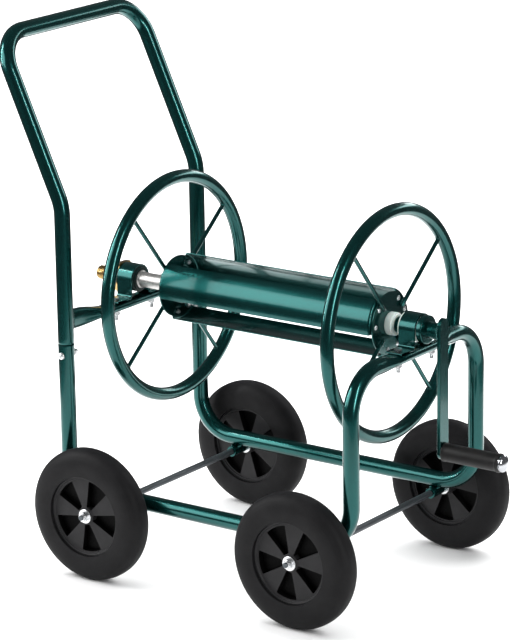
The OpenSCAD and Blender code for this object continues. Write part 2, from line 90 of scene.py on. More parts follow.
class Shape:
    """Vertices and faces gathered before they become one mesh."""

    def __init__(self):
        self.verts = []
        self.faces = []

    def add(self, verts, faces, matrix=None):
        base = len(self.verts)
        self.verts += [matrix @ v if matrix else v for v in verts]
        self.faces += [tuple(base + i for i in f) for f in faces]
        return self

    def merge(self, other, matrix=None):
        return self.add(other.verts, other.faces, matrix)


def grid_faces(rows, cols, close_rows=False, close_cols=True):
    faces = []
    for i in range(rows if close_rows else rows - 1):
        for j in range(cols if close_cols else cols - 1):
            a, b = i * cols + j, i * cols + (j + 1) % cols
            c, d = ((i + 1) % rows) * cols + (j + 1) % cols, ((i + 1) % rows) * cols + j
            faces.append((a, b, c, d))
    return faces


def basis(origin, z_axis, x_hint=None):
    """A matrix whose Z is z_axis and whose X leans towards x_hint."""
    z = Vector(z_axis).normalized()
    hint = Vector(x_hint) if x_hint else (X if abs(z.x) < 0.9 else Z)
    x = (hint - hint.dot(z) * z).normalized()
    y = z.cross(x)
    m = Matrix((x, y, z)).transposed().to_4x4()
    m.translation = Vector(origin)
    return m


def lathe(profile, sides=64, matrix=None, closed=False):
    """Turns (radius, height) pairs about Z.

    The faces point outwards when the heights rise from the first pair to the last.
    """
    verts = []
    for r, h in profile:
        for j in range(sides):
            a = 2 * math.pi * j / sides
            verts.append(Vector((r * math.cos(a), r * math.sin(a), h)))
    shape = Shape()
    faces = grid_faces(len(profile), sides, close_rows=closed)
    if not closed:
        last = (len(profile) - 1) * sides
        if profile[0][0] > 0:
            faces.append(tuple(reversed(range(sides))))
        if profile[-1][0] > 0:
            faces.append(tuple(range(last, last + sides)))
    return shape.add(verts, faces, matrix)


def corner(before, p, after, cut, steps):
    """A soft curve past p, from cut before it to cut after it."""
    s, e = (p + (q - p).normalized() * cut for q in (before, after))
    turns = [k / steps for k in range(steps + 1)]
    return [tuple((1 - t) ** 2 * s + 2 * t * (1 - t) * p + t * t * e) for t in turns]


def rounded(profile, radius, steps=4):
    """Rounds every inner corner of a (radius, height) profile."""
    out = [profile[0]]
    for i in range(1, len(profile) - 1):
        before, p, after = (Vector(q) for q in profile[i - 1 : i + 2])
        cut = min(radius, (before - p).length * 0.45, (after - p).length * 0.45)
        if cut < 1e-6:
            out.append(profile[i])
        else:
            out += corner(before, p, after, cut, steps)
    out.append(profile[-1])
    return out


def route(points, radii, per_bend=18):
    """A centreline through the points, with each inner corner rounded to its bend radius."""
    points = [Vector(p) for p in points]
    out = [points[0]]
    for i in range(1, len(points) - 1):
        a, b, c = points[i - 1], points[i], points[i + 1]
        u, v = (b - a).normalized(), (c - b).normalized()
        angle = u.angle(v)
        back = radii[i - 1] * math.tan(angle / 2)
        n = (v - v.dot(u) * u).normalized()
        o = b - u * back + n * radii[i - 1]
        for k in range(per_bend + 1):
            t = angle * k / per_bend
            out.append(o + radii[i - 1] * (math.sin(t) * u - math.cos(t) * n))
    out.append(points[-1])
    return out


def spaced(points, step):
    """Adds points so that no stretch is longer than step."""
    out = [points[0]]
    for a, b in zip(points, points[1:]):
        n = max(1, math.ceil((b - a).length / step))
        out += [a.lerp(b, k / n) for k in range(1, n + 1)]
    return out


def sweep(points, section, first, closed=False):
    """Carries a section, a function of (index, point) giving (a, b) offsets, along the points."""
    shape = Shape()
    n = len(points)
    e1 = None
    for i, p in enumerate(points):
        before = points[i - 1] if i or closed else p
        after = points[(i + 1) % n] if i < n - 1 or closed else p
        t = (after - before).normalized()
        e1 = Vector(first) if e1 is None else e1
        e1 = (e1 - e1.dot(t) * t).normalized()
        e2 = t.cross(e1)
        ring = section(i, p)
        shape.verts += [p + a * e1 + b * e2 for a, b in ring]
        cols = len(ring)
    shape.faces = grid_faces(n, cols, close_rows=closed)
    if not closed:
        shape.faces.append(tuple(reversed(range(cols))))
        shape.faces.append(tuple(range((n - 1) * cols, n * cols)))
    return shape


def circle(r, sides=40):
    turns = [2 * math.pi * j / sides for j in range(sides)]
    return [(r * math.cos(a), r * math.sin(a)) for a in turns]


def stadium(w, h, sides=48):
    """A flattened tube's section, w by h, which is a circle when they are the same."""
    ring = []
    for j in range(sides):
        a = 2 * math.pi * j / sides
        c = max(-1.0, min(1.0, 3.2 * math.cos(a)))
        ring.append((h / 2 * math.cos(a) + (w - h) / 2 * c, h / 2 * math.sin(a)))
    return ring


def pressed(w, h, sides=56):
    """A squashed tube's outline, its long side either way round."""
    square = 0.78
    out = []
    for x, y in circle(1.0, sides):
        x, y = (math.copysign(abs(v) ** square, v) for v in (x, y))
        out.append((x * w / 2, y * h / 2))
    return out


def bead(points, r, closed=True, seed=0.0):
    """A weld bead: a small round of metal with its ripples, along the points."""
    points = spaced(points + ([points[0]] if closed else []), 0.9 * MM)
    points = points[:-1] if closed else points

    def section(i, p):
        lumps = noise.noise(p * 260 + Vector((seed, 0, 0)))
        swell = 1 + 0.16 * math.sin(i * 1.55 + seed) + 0.12 * lumps
        if not closed:
            swell *= min(1.0, 0.35 + 0.3 * min(i, len(points) - 1 - i))
        return circle(r * swell, 10)

    t = points[1] - points[0]
    return sweep(points, section, X if abs(t.normalized().x) < 0.9 else Z, closed)


def thread(r, length, pitch=1.25 * MM, depth=0.55 * MM, sides=28):
    """A threaded rod from 0 to length along Z, chamfered at its far end."""
    taper = 1.0 * MM
    rows = max(6, int(length / pitch * 6))
    verts = []
    for i in range(rows + 1):
        z = length * i / rows
        for j in range(sides):
            a = 2 * math.pi * j / sides
            wave = abs(((z / pitch - a / (2 * math.pi)) % 1.0) - 0.5) * 2
            rr = r - depth * wave
            rr = min(rr, r - depth + max(0.0, (length - z)) * depth / taper + depth * 0.1)
            verts.append(Vector((rr * math.cos(a), rr * math.sin(a), z)))
    faces = grid_faces(rows + 1, sides)
    faces.append(tuple(reversed(range(sides))))
    faces.append(tuple(range(rows * sides, (rows + 1) * sides)))
    return Shape().add(verts, faces)


def hexagon(flats, height, bore=0.0, sides=48, low_chamfer=True):
    """A hex nut or bolt head from 0 to height along Z, its corners turned down to a cone."""
    corner = flats / math.sqrt(3)
    if low_chamfer:
        levels = [0.0, 0.0, 0.1, 0.5, 0.9, 1.0, 1.0]
        caps = [0.94, 0.965, 1.0, 1.0, 1.0, 0.965, 0.9]
    else:
        levels = [0.0, 0.0, 0.5, 0.9, 1.0, 1.0]
        caps = [0.99, 1.0, 1.0, 1.0, 0.965, 0.9]
    verts = []
    for level, cap in zip(levels, caps):
        for j in range(sides):
            a = 2 * math.pi * j / sides
            k = (a + math.pi / 6) % (math.pi / 3) - math.pi / 6
            r = min(flats / 2 / math.cos(k), corner * cap * 0.985)
            verts.append(Vector((r * math.cos(a), r * math.sin(a), level * height)))
    rows = len(levels)
    shape = Shape()
    if bore:
        for level in (0.97, 0.03):
            verts += [Vector((x, y, level * height)) for x, y in circle(bore, sides)]
        shape.add(verts, grid_faces(rows + 2, sides, close_rows=True))
    else:
        faces = grid_faces(rows, sides)
        faces.append(tuple(reversed(range(sides))))
        faces.append(tuple(range((rows - 1) * sides, rows * sides)))
        shape.add(verts, faces)
    return shape


def washer(r, bore, h, sides=40):
    edge = min(0.25 * MM, h / 4)
    profile = [(bore, 0), (r - edge, 0), (r, edge), (r, h - edge), (r - edge, h), (bore, h)]
    return lathe(profile, sides, closed=True)


def pan_head(r, h, sides=48):
    """A domed screw head standing on Z = 0, with a cross recess."""
    recess_r, recess_depth, arm_half = r * 0.55, h * 0.45, r * 0.13
    rings = 16
    verts = []
    for i in range(rings + 1):
        rr = r * math.sin(i / rings * math.pi / 2) if i else 0.02 * MM
        dome = h * math.sqrt(max(0.0, 1 - (rr / r) ** 2 * 0.96)) if i < rings else 0.0
        for x, y in circle(rr, sides):
            z = dome
            if rr < recess_r:
                cut = max(0.0, 1 - (min(abs(x), abs(y)) / arm_half) ** 4)
                z -= cut * recess_depth * (1 - rr / recess_r * 0.4)
            verts.append(Vector((x, y, z)))
    return Shape().add(verts[::-1], grid_faces(rings + 1, sides))


def extrude(outline, depth, matrix=None):
    """A closed outline of (x, y) pairs, from Z = 0 to Z = depth."""
    n = len(outline)
    verts = [Vector((x, y, 0)) for x, y in outline] + [Vector((x, y, depth)) for x, y in outline]
    faces = [(i, (i + 1) % n, n + (i + 1) % n, n + i) for i in range(n)]
    faces.append(tuple(reversed(range(n))))
    faces.append(tuple(range(n, 2 * n)))
    return Shape().add(verts, faces, matrix)


def arc(cx, cy, r, a0, a1, steps):
    """Points on an arc from a0 to a1 degrees."""
    turns = [math.radians(a0 + (a1 - a0) * k / steps) for k in range(steps + 1)]
    return [(cx + r * math.cos(a), cy + r * math.sin(a)) for a in turns]


def along_x(x=0.0, z=0.0):
    """A matrix that lays a shape's Z along X and its X along Y."""
    return Matrix(((0, 0, 1, x), (1, 0, 0, 0), (0, 1, 0, z), (0, 0, 0, 1)))


def raw_mesh(name, shape):
    mesh = bpy.data.meshes.new(name)
    mesh.from_pydata([tuple(v) for v in shape.verts], [], shape.faces)
    return mesh


def add_object(name, data):
    obj = bpy.data.objects.new(name, data)
    bpy.context.scene.collection.objects.link(obj)
    return obj


def soften_edges(obj, width, limit, segments, weight):
    """Bevels the edges sharper than limit and lets the flat faces rule the normals."""
    b = obj.modifiers.new("edge", "BEVEL")
    b.width = width
    b.segments = segments
    b.limit_method = "ANGLE"
    b.angle_limit = limit
    w = obj.modifiers.new("normals", "WEIGHTED_NORMAL")
    w.keep_sharp = True
    w.weight = weight


def piece(name, shape, mat, body, stands_for=(), bevel=0.0, sharp=38, segments=3):
    """Makes a shape into an object that rides on a CAD body."""
    mesh = raw_mesh(name, shape)
    bm = bmesh.new()
    bm.from_mesh(mesh)
    bmesh.ops.remove_doubles(bm, verts=bm.verts, dist=1e-6)
    bmesh.ops.recalc_face_normals(bm, faces=bm.faces)
    for f in bm.faces:
        f.smooth = True
    limit = math.radians(sharp)
    for e in bm.edges:
        if len(e.link_faces) == 2 and e.calc_face_angle(0) > limit and not bevel:
            e.smooth = False
    bm.to_mesh(mesh)
    bm.free()
    mesh.materials.append(mat)
    obj = add_object(name, mesh)
    if bevel:
        soften_edges(obj, bevel, limit, segments, 80)
    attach(obj, body)
    if stands_for:
        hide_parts(*stands_for)
    return obj


# Materials ----------------------------------------------------------------------------------


class Nodes:
    """A Principled material, and short ways to wire textures into it."""

    def __init__(self, name):
        self.mat = bpy.data.materials.new(name)
        self.mat.use_nodes = True
        self.tree = self.mat.node_tree
        self.tree.nodes.clear()
        out = self.tree.nodes.new("ShaderNodeOutputMaterial")
        self.bsdf = self.tree.nodes.new("ShaderNodeBsdfPrincipled")
        self.tree.links.new(self.bsdf.outputs["BSDF"], out.inputs["Surface"])
        self.coords = self.tree.nodes.new("ShaderNodeTexCoord").outputs["Object"]

    def set(self, **values):
        for key, value in values.items():
            self.bsdf.inputs[key.replace("_", " ")].default_value = value
        return self

    def link(self, a, b):
        self.tree.links.new(a, b)

    def noise(self, scale, detail=4.0, rough=0.55, coords=None):
        n = self.tree.nodes.new("ShaderNodeTexNoise")
        n.inputs["Scale"].default_value = scale
        n.inputs["Detail"].default_value = detail
        n.inputs["Roughness"].default_value = rough
        self.link(coords or self.coords, n.inputs["Vector"])
        return n.outputs["Fac"]

    def stretched(self, x, y, z):
        m = self.tree.nodes.new("ShaderNodeMapping")
        m.inputs["Scale"].default_value = (x, y, z)
        self.link(self.coords, m.inputs["Vector"])
        return m.outputs["Vector"]

    def cells(self, scale):
        v = self.tree.nodes.new("ShaderNodeTexVoronoi")
        v.inputs["Scale"].default_value = scale
        self.link(self.coords, v.inputs["Vector"])
        return v.outputs["Color"]

    def ramp(self, fac, *stops):
        r = self.tree.nodes.new("ShaderNodeValToRGB")
        while len(r.color_ramp.elements) < len(stops):
            r.color_ramp.elements.new(0.5)
        for e, (at, colour) in zip(r.color_ramp.elements, stops):
            e.position = at
            e.color = (*colour, 1)
        self.link(fac, r.inputs["Fac"])
        return r.outputs["Color"]

    def multiply(self, a, b):
        m = self.tree.nodes.new("ShaderNodeMix")
        m.data_type = "RGBA"
        m.blend_type = "MULTIPLY"
        m.inputs["Factor"].default_value = 1.0
        self.link(a, m.inputs["A"])
        self.link(b, m.inputs["B"])
        return m.outputs["Result"]

    def colour(self, socket):
        self.link(socket, self.bsdf.inputs["Base Color"])
        return self

    def roughness(self, fac, low, high):
        m = self.tree.nodes.new("ShaderNodeMapRange")
        m.inputs["To Min"].default_value = low
        m.inputs["To Max"].default_value = high
        self.link(fac, m.inputs["Value"])
        self.link(m.outputs["Result"], self.bsdf.inputs["Roughness"])
        return self

    def bump(self, fac, strength, distance, into=None):
        b = self.tree.nodes.new("ShaderNodeBump")
        b.inputs["Strength"].default_value = strength
        b.inputs["Distance"].default_value = distance
        self.link(fac, b.inputs["Height"])
        if into is not None:
            self.link(into, b.inputs["Normal"])
        self.link(b.outputs["Normal"], self.bsdf.inputs["Normal"])
        return b.outputs["Normal"]


def make_paint():
    n = Nodes("teal_paint").set(Metallic=0.92, Coat_Weight=0.7, Coat_Roughness=0.09, Coat_IOR=1.36)
    flake = n.ramp(
        n.cells(2600),
        (0.0, (0.0035, 0.062, 0.058)),
        (0.7, (0.005, 0.076, 0.071)),
        (1.0, (0.010, 0.100, 0.095)),
    )
    cloud = n.ramp(n.noise(7, 3), (0.35, (0.92, 0.94, 0.95)), (0.65, (1.06, 1.04, 1.03)))
    n.colour(n.multiply(flake, cloud))
    n.roughness(n.noise(90, 3), 0.20, 0.27)
    n.bump(n.noise(240, 2, 0.5), 0.02, 0.0003)
    return n.mat


def make_tyre():
    n = Nodes("tyre_rubber").set(Specular_IOR_Level=0.13)
    dust = n.ramp(
        n.noise(26, 6, 0.62), (0.38, (0.0058, 0.0057, 0.0063)), (0.72, (0.0092, 0.0090, 0.0098))
    )
    fine = n.ramp(n.noise(900, 3), (0.4, (0.94, 0.94, 0.94)), (0.62, (1.10, 1.10, 1.10)))
    n.colour(n.multiply(dust, fine))
    n.roughness(n.noise(45, 5), 0.50, 0.66)
    grain = n.bump(n.noise(1500, 3, 0.6), 0.10, 0.0003)
    n.bump(n.noise(60, 3), 0.06, 0.002, grain)
    return n.mat


def make_rim():
    n = Nodes("rim_plastic").set(Specular_IOR_Level=0.2)
    tone = n.ramp(n.noise(40, 4), (0.35, (0.0110, 0.0108, 0.0118)), (0.7, (0.0155, 0.0152, 0.0164)))
    n.colour(tone)
    n.roughness(n.noise(160, 4), 0.42, 0.56)
    n.bump(n.noise(2200, 2, 0.7), 0.14, 0.00025)
    return n.mat


def make_zinc():
    n = Nodes("zinc_plate").set(Metallic=1.0)
    n.colour(
        n.ramp(
            n.noise(420, 5, 0.6),
            (0.3, (0.52, 0.53, 0.55)),
            (0.55, (0.76, 0.77, 0.78)),
            (0.8, (0.90, 0.90, 0.90)),
        )
    )
    n.roughness(n.noise(700, 4), 0.18, 0.36)
    n.bump(n.noise(1300, 3), 0.10, 0.0002)
    return n.mat


def make_axle():
    n = Nodes("axle_steel").set(Metallic=0.75)
    drawn = n.noise(120, 4, 0.6, n.stretched(6, 0.25, 6))
    n.colour(n.ramp(drawn, (0.3, (0.055, 0.062, 0.068)), (0.7, (0.105, 0.118, 0.128))))
    n.roughness(drawn, 0.30, 0.46)
    n.bump(drawn, 0.08, 0.0003)
    return n.mat


def make_alloy():
    n = Nodes("cast_alloy").set(Metallic=0.9)
    tone = n.ramp(n.noise(210, 5, 0.6), (0.3, (0.36, 0.355, 0.345)), (0.7, (0.60, 0.59, 0.57)))
    n.colour(tone)
    n.roughness(n.noise(300, 4), 0.30, 0.46)
    n.bump(n.noise(850, 4, 0.6), 0.16, 0.0004)
    return n.mat


def make_brass():
    n = Nodes("brass").set(Metallic=1.0)
    n.colour(
        n.ramp(
            n.noise(130, 5, 0.6),
            (0.3, (0.36, 0.215, 0.075)),
            (0.6, (0.62, 0.42, 0.17)),
            (0.85, (0.72, 0.53, 0.25)),
        )
    )
    turned = n.noise(240, 3, 0.5, n.stretched(9, 0.4, 0.4))
    n.roughness(turned, 0.20, 0.38)
    n.bump(turned, 0.06, 0.0003)
    return n.mat


def make_nylon():
    n = Nodes("white_nylon").set(Subsurface_Weight=0.15, Subsurface_Scale=0.002)
    tone = n.ramp(n.noise(70, 4), (0.35, (0.56, 0.64, 0.61)), (0.7, (0.72, 0.78, 0.755)))
    n.colour(tone)
    n.roughness(n.noise(240, 3), 0.34, 0.48)
    n.bump(n.noise(700, 2), 0.05, 0.0003)
    return n.mat


def make_plastic(name, dark, light, shine):
    n = Nodes(name).set(Specular_IOR_Level=shine)
    n.colour(n.ramp(n.noise(55, 4), (0.35, dark), (0.7, light)))
    n.roughness(n.noise(190, 4), 0.42, 0.56)
    n.bump(n.noise(520, 3, 0.6), 0.25, 0.0005)
    return n.mat


def make_chrome():
    n = Nodes("chrome").set(Metallic=1.0)
    n.colour(n.ramp(n.noise(60, 4), (0.3, (0.40, 0.41, 0.43)), (0.7, (0.52, 0.53, 0.55))))
    n.roughness(n.noise(320, 4), 0.16, 0.24)
    n.bump(n.noise(300, 2), 0.01, 0.0002)
    return n.mat


PAINT, TYRE, RIM, ZINC = make_paint(), make_tyre(), make_rim(), make_zinc()
AXLE, ALLOY, BRASS, NYLON = make_axle(), make_alloy(), make_brass(), make_nylon()
BLACK = make_plastic(
    "black_plastic", (0.0040, 0.0037, 0.0037), (0.0075, 0.0070, 0.0070), 0.35
)
BUSH = make_plastic("bush_plastic", (0.0028, 0.0125, 0.0115), (0.0045, 0.0190, 0.0175), 0.3)
# The rim pockets' painted shade: a near-black, barely shiny material put on the pocket faces to
# stand in for the shade inside them.
RIM_POCKET_SHADE = make_plastic("rim_pocket_painted_shade", (0.0012, 0.0012, 0.0013), (0.0022, 0.0022, 0.0023), 0.05)
CHROME = make_chrome()

# Frame --------------------------------------------------------------------------------------


def blend_step(t):
    t = max(0.0, min(1.0, t))
    return t * t * (3 - 2 * t)


def build_hoop():
    """One tube from the top of one rear leg, round the base and over the front, to the other."""
    bend, seat_y, ease = 75 * MM, 106 * MM, 26 * MM
    half = [
        (REAR_X, -SIDE_Y, JOINT_Z),
        (REAR_X, -SIDE_Y, BASE_Z),
        (FRONT_X, -SIDE_Y, BASE_Z),
        (FRONT_X, -SIDE_Y, SADDLE_Z),
    ]
    points = half + [(x, -y, z) for x, y, z in reversed(half)]
    line = spaced(route(points, [bend] * 6), 9 * MM)

    def section(i, p):
        if p.z < SADDLE_Z - 1 * MM or abs(p.y) > seat_y:
            return stadium(2 * TUBE_R, 2 * TUBE_R)
        press = blend_step((seat_y - abs(p.y)) / ease)
        return stadium((30 + 7 * press) * MM, (30 - 12 * press) * MM)

    shape = sweep(line, section, X)
    stands_for = ("frame_tube_right", "frame_tube_left", "front_crossbar")
    piece("frame_hoop", shape, PAINT, "frame", stands_for)


def build_rear_crossbar():
    """A pressed tube between the rear legs, thin in its middle and tall at its welded ends."""
    half, flat_y, rise = 191 * MM, 80 * MM, 6 * MM
    line = spaced([Vector((REAR_X, y, SADDLE_Z)) for y in (-half, half)], 6 * MM)
    line = [p + Z * rise * blend_step((abs(p.y) - flat_y) / (115 * MM)) for p in line]

    def section(i, p):
        t = blend_step((abs(p.y) - flat_y) / (95 * MM))
        return pressed((37 + (19 - 37) * t) * MM, (18 + (38 - 18) * t) * MM)

    shape = sweep(line, section, X)
    piece("rear_crossbar_tube", shape, PAINT, "frame", ("rear_crossbar",))
    welds = Shape()
    for side in (-1, 1):
        loop = []
        for c, s in circle(1.0, 40):
            x = 9.7 * MM * c
            y = side * (SIDE_Y - math.sqrt(TUBE_R**2 - x * x))
            loop.append(Vector((REAR_X + x, y, SADDLE_Z + rise + 19.2 * MM * s)))
        welds.merge(bead(loop, 2.1 * MM, seed=side))
    piece("rear_crossbar_welds", welds, PAINT, "frame")


def build_handle():
    """The push handle: two legs that lean back to the top bar."""
    low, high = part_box("handle")
    top = high.z - TUBE_R
    back = low.x + TUBE_R
    lean_z = 685 * MM
    half = [(REAR_X, -SIDE_Y, JOINT_Z + 5 * MM), (REAR_X, -SIDE_Y, lean_z), (back, -SIDE_Y, top)]
    points = half + [(x, -y, z) for x, y, z in reversed(half)]
    line = spaced(route(points, [85 * MM, 68 * MM, 68 * MM, 85 * MM]), 9 * MM)
    neck = [(0, 13.3), (0.8, 13.9), (2, 14.5), (3.6, 14.9)]
    start = [Vector((REAR_X, -SIDE_Y, JOINT_Z + dz * MM)) for dz, r in neck]
    finish = [Vector((REAR_X, SIDE_Y, JOINT_Z + dz * MM)) for dz, r in reversed(neck)]
    radii = [r * MM for dz, r in neck]
    radii = radii + [TUBE_R] * len(line) + radii[::-1]
    shape = sweep(start + line + finish, lambda i, p: circle(radii[i]), X)
    piece("handle_tube", shape, PAINT, "frame", ("handle",))
    lip = rounded(in_mm([(13.35, -3), (13.35, 0.25), (15.25, 0.25), (15.25, -3)]), 0.5 * MM)
    rims = Shape()
    for side in (-1, 1):
        rims.merge(lathe(lip), Matrix.Translation((REAR_X, side * SIDE_Y, JOINT_Z)))
    piece("rear_leg_rims", rims, PAINT, "frame")


def build_axles():
    for end in ("front", "rear"):
        c = mid(end + "_axle")
        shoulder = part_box(end + "_axle")[1].y - AXLE_STUB
        rod = [(0, -shoulder), (6.35 * MM, -shoulder), (6.35 * MM, shoulder), (0, shoulder)]
        shape = lathe(rounded(rod, 0.5 * MM), 48, basis(c, Y))
        for side in (-1, 1):
            stub = thread(5 * MM, AXLE_STUB - 0.1 * MM, 1.5 * MM)
            shape.merge(stub, basis(c + Y * side * shoulder, Y * side))
        piece(end + "_axle_rod", shape, AXLE, "frame", (end + "_axle",))
    sleeves, welds = Shape(), Shape()
    half = (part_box("axle_sleeves")[1].y - SIDE_Y) / MM
    profile = in_mm(rounded([(6.6, -half), (10, -half), (10, half), (6.6, half)], 0.7))
    for end in ("front", "rear"):
        c = mid(end + "_axle")
        for side in (-1, 1):
            at = Vector((c.x, side * SIDE_Y, c.z))
            sleeves.merge(lathe(profile, 48, basis(at, Y), closed=True))
            for lean in (-1, 1):
                run = [
                    at + Vector((lean * 7.4, k * 1.3, 8.2 + 0.07 * abs(k) ** 1.1)) * MM
                    for k in range(-8, 9)
                ]
                welds.merge(bead(run, 2.0 * MM, closed=False, seed=lean + side))
    piece("axle_sleeve_tubes", sleeves, PAINT, "frame", ("axle_sleeves",))
    piece("axle_sleeve_welds", welds, PAINT, "frame")


# Fasteners ----------------------------------------------------------------------------------


def nut_and_washer(nuts, at, turn=0.0):
    """An M8 nut on its washer, standing on the matrix at."""
    nuts.merge(washer(8 * MM, 4 * MM, WASHER_H), at)
    at = at @ Matrix.Translation((0, 0, WASHER_H)) @ Matrix.Rotation(turn, 4, "Z")
    nuts.merge(hexagon(13 * MM, 6.5 * MM, 3.9 * MM), at)


def build_handle_bolts():
    bolts, nuts = Shape(), Shape()
    for side in (-1, 1):
        out = Vector((REAR_X, side * (SIDE_Y + TUBE_R), BOLT_Z))
        bolts.merge(pan_head(7 * MM, 4.6 * MM), basis(out - Y * side * 0.4 * MM, Y * side))
        inner = basis(out - Y * side * 2 * TUBE_R, -Y * side)
        nut_and_washer(nuts, inner)
        bolts.merge(thread(4 * MM, 13.5 * MM), inner @ Matrix.Translation((0, 0, 1.4 * MM)))
    piece("handle_bolt_set", bolts, ZINC, "frame", ("handle_bolts",))
    piece("handle_nut_set", nuts, ZINC, "frame", ("handle_nuts",))


def build_strap_bolts():
    bolts, nuts = Shape(), Shape()
    for x in (REAR_X, FRONT_X):
        for side in (-1, 1):
            top = basis((x, side * STRAP_BOLT_Y, SEAT_TOP + 3.5 * MM), Z, (0.9, 0.3 * side, 0))
            bolts.merge(hexagon(13 * MM, 5.3 * MM, low_chamfer=False), top)
            under = basis((x, side * STRAP_BOLT_Y, SEAT_TOP - 18 * MM), -Z)
            bolts.merge(thread(4 * MM, 18 * MM), under)
            nut_and_washer(nuts, under, 0.4 * side)
    piece("strap_bolt_set", bolts, ZINC, "frame", ("strap_bolts",))
    piece("strap_nut_set", nuts, ZINC, "frame", ("strap_nuts",))


def build_axle_hardware():
    washers, nuts = Shape(), Shape()
    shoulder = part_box("front_axle")[1].y - AXLE_STUB
    hub_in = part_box("rim_front_left")[0].y - 0.3 * MM - WASHER_H
    crown = in_mm(rounded([(4.9, 6.3), (7.4, 6.3), (7.1, 9.3), (4.9, 9.3)], 0.7))
    for end in ("front", "rear"):
        c = mid(end + "_axle")
        for side in (-1, 1):
            at = basis(c + Y * side * shoulder, Y * side)
            washers.merge(washer(13.5 * MM, 5 * MM, WASHER_H), at)
            turn = Matrix.Rotation(0.35 + 0.5 * side + (0.3 if end == "front" else 0), 4, "Z")
            nut = at @ Matrix.Translation((0, 0, WASHER_H)) @ turn
            nuts.merge(hexagon(17 * MM, 6.5 * MM, 4.9 * MM), nut)
            nuts.merge(lathe(crown, 40, closed=True), nut)
            back = basis((c.x, side * hub_in, c.z), Y * side)
            washers.merge(washer(13.5 * MM, 6.3 * MM, WASHER_H), back)
    piece("axle_washer_set", washers, ZINC, "frame", ("axle_washers",))
    piece("axle_nut_set", nuts, ZINC, "frame", ("axle_nuts",))


# Bearings -----------------------------------------------------------------------------------


def strap_outline():
    """The strap seen along X, as one closed outline about the reel's axis."""
    drop = (REEL_Z - SEAT_TOP) / MM
    outer, t, b, foot = 28.0, 3.5, 5.0, 68.0
    foot_outer = arc(outer + b, b + t - drop, b, 180, 270, 6)
    foot_inner = arc(outer + b, b + t - drop, b + t, 270, 180, 8)
    tip = arc(foot - t / 2, t / 2 - drop, t / 2, 90, -90, 6)

    def mirrored(points):
        return [(-x, y) for x, y in points]

    outline = tip[::-1] + foot_outer[::-1] + arc(0, 0, outer, 0, 180, 36)
    outline += mirrored(foot_outer) + mirrored(tip[::-1]) + mirrored(foot_inner)
    outline += arc(0, 0, outer - t, 180, 0, 36) + foot_inner[::-1]
    return in_mm(outline)


def build_straps():
    for end, x in (("front", FRONT_X), ("rear", REAR_X)):
        strap = extrude(strap_outline(), 2 * STRAP_HALF, along_x(x - STRAP_HALF, REEL_Z))
        stands_for = (end + "_bearing_strap",)
        piece(end + "_strap", strap, PAINT, "frame", stands_for, 0.8 * MM, 50)


def along_reel(pairs, soften, closed=False):
    """Turns (x, radius) pairs about the reel's axis, their corners softened."""
    profile = rounded([(r, x) for x, r in pairs], soften)
    return lathe(profile, 72, along_x(0, REEL_Z), closed)


def reel_ring(pairs, bore, soften=0.6 * MM, sides=72):
    """A turned ring about the reel's axis: (x, radius) pairs of its outside, and its bore."""
    profile = [(bore, pairs[0][0])] + [(r, x) for x, r in pairs] + [(bore, pairs[-1][0])]
    return lathe(rounded(profile, soften), sides, along_x(0, REEL_Z), closed=True)


def build_bushes():
    low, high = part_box("front_bush")
    rim, step, body_r = 25.2 * MM, low.x + 5 * MM, 24.4 * MM
    pairs = [(low.x + 1 * MM, rim), (step, rim), (step, body_r), (high.x, body_r)]
    shape = reel_ring(pairs, 15.06 * MM)
    piece("front_bush_ring", shape, NYLON, "frame", ("front_bush",))
    low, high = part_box("rear_bush")
    step, nose_r = high.x - 3 * MM, 21 * MM
    pairs = [(low.x, body_r), (step, body_r), (step, nose_r), (high.x, nose_r)]
    shape = reel_ring(pairs, 17.06 * MM)
    piece("rear_bush_ring", shape, BUSH, "frame", ("rear_bush",))


def build_inlet():
    low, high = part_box("water_inlet")
    face, end = high.x, low.x
    nut = hexagon(56 * MM, 11 * MM, 11 * MM)
    shape = Shape().merge(nut, basis((face, 0, REEL_Z), -X, Z))
    steps = [
        (10, 9), (10, 19), (12.5, 17), (27, 17), (28, 15.4), (41, 15.4), (42, 12), (43, 9),
    ]
    shape.merge(along_reel([(face - dx * MM, r * MM) for dx, r in steps], 0.7 * MM))
    root = face - 42 * MM
    shape.merge(pipe_thread(8 * MM, root - end), basis((root, 0, REEL_Z), -X))
    piece("brass_inlet", shape, BRASS, "inlet", ("water_inlet",))


def pipe_thread(bore, length, sides=48):
    """An open threaded pipe end from 0 to length along Z."""
    r, pitch, depth = 13.3 * MM, 2.2 * MM, 1.0 * MM
    rows = int(length / pitch * 8)
    verts = []
    for i in range(rows + 1):
        z = length * i / rows
        for j in range(sides):
            a = 2 * math.pi * j / sides
            wave = abs(((z / pitch - a / (2 * math.pi)) % 1.0) - 0.5) * 2
            fade = min(1.0, (length - z) / (1.5 * MM), z / (1.5 * MM) + 0.2)
            rr = r - depth + depth * fade * min(1.0, 1.4 * (1 - wave))
            verts.append(Vector((rr * math.cos(a), rr * math.sin(a), z)))
    for rr, z in ((bore + 0.6 * MM, length), (bore, length - 0.6 * MM), (bore, 0)):
        verts += [Vector((x, y, z)) for x, y in circle(rr, sides)]
    return Shape().add(verts, grid_faces(rows + 4, sides, close_rows=True))


# Wheels -------------------------------------------------------------------------------------

# Degrees from straight up to the middle of a pocket, counter-clockwise seen from outside
WHEEL_PHASE = {"rear_right": 46, "rear_left": 0, "front_right": 28, "front_left": -32}


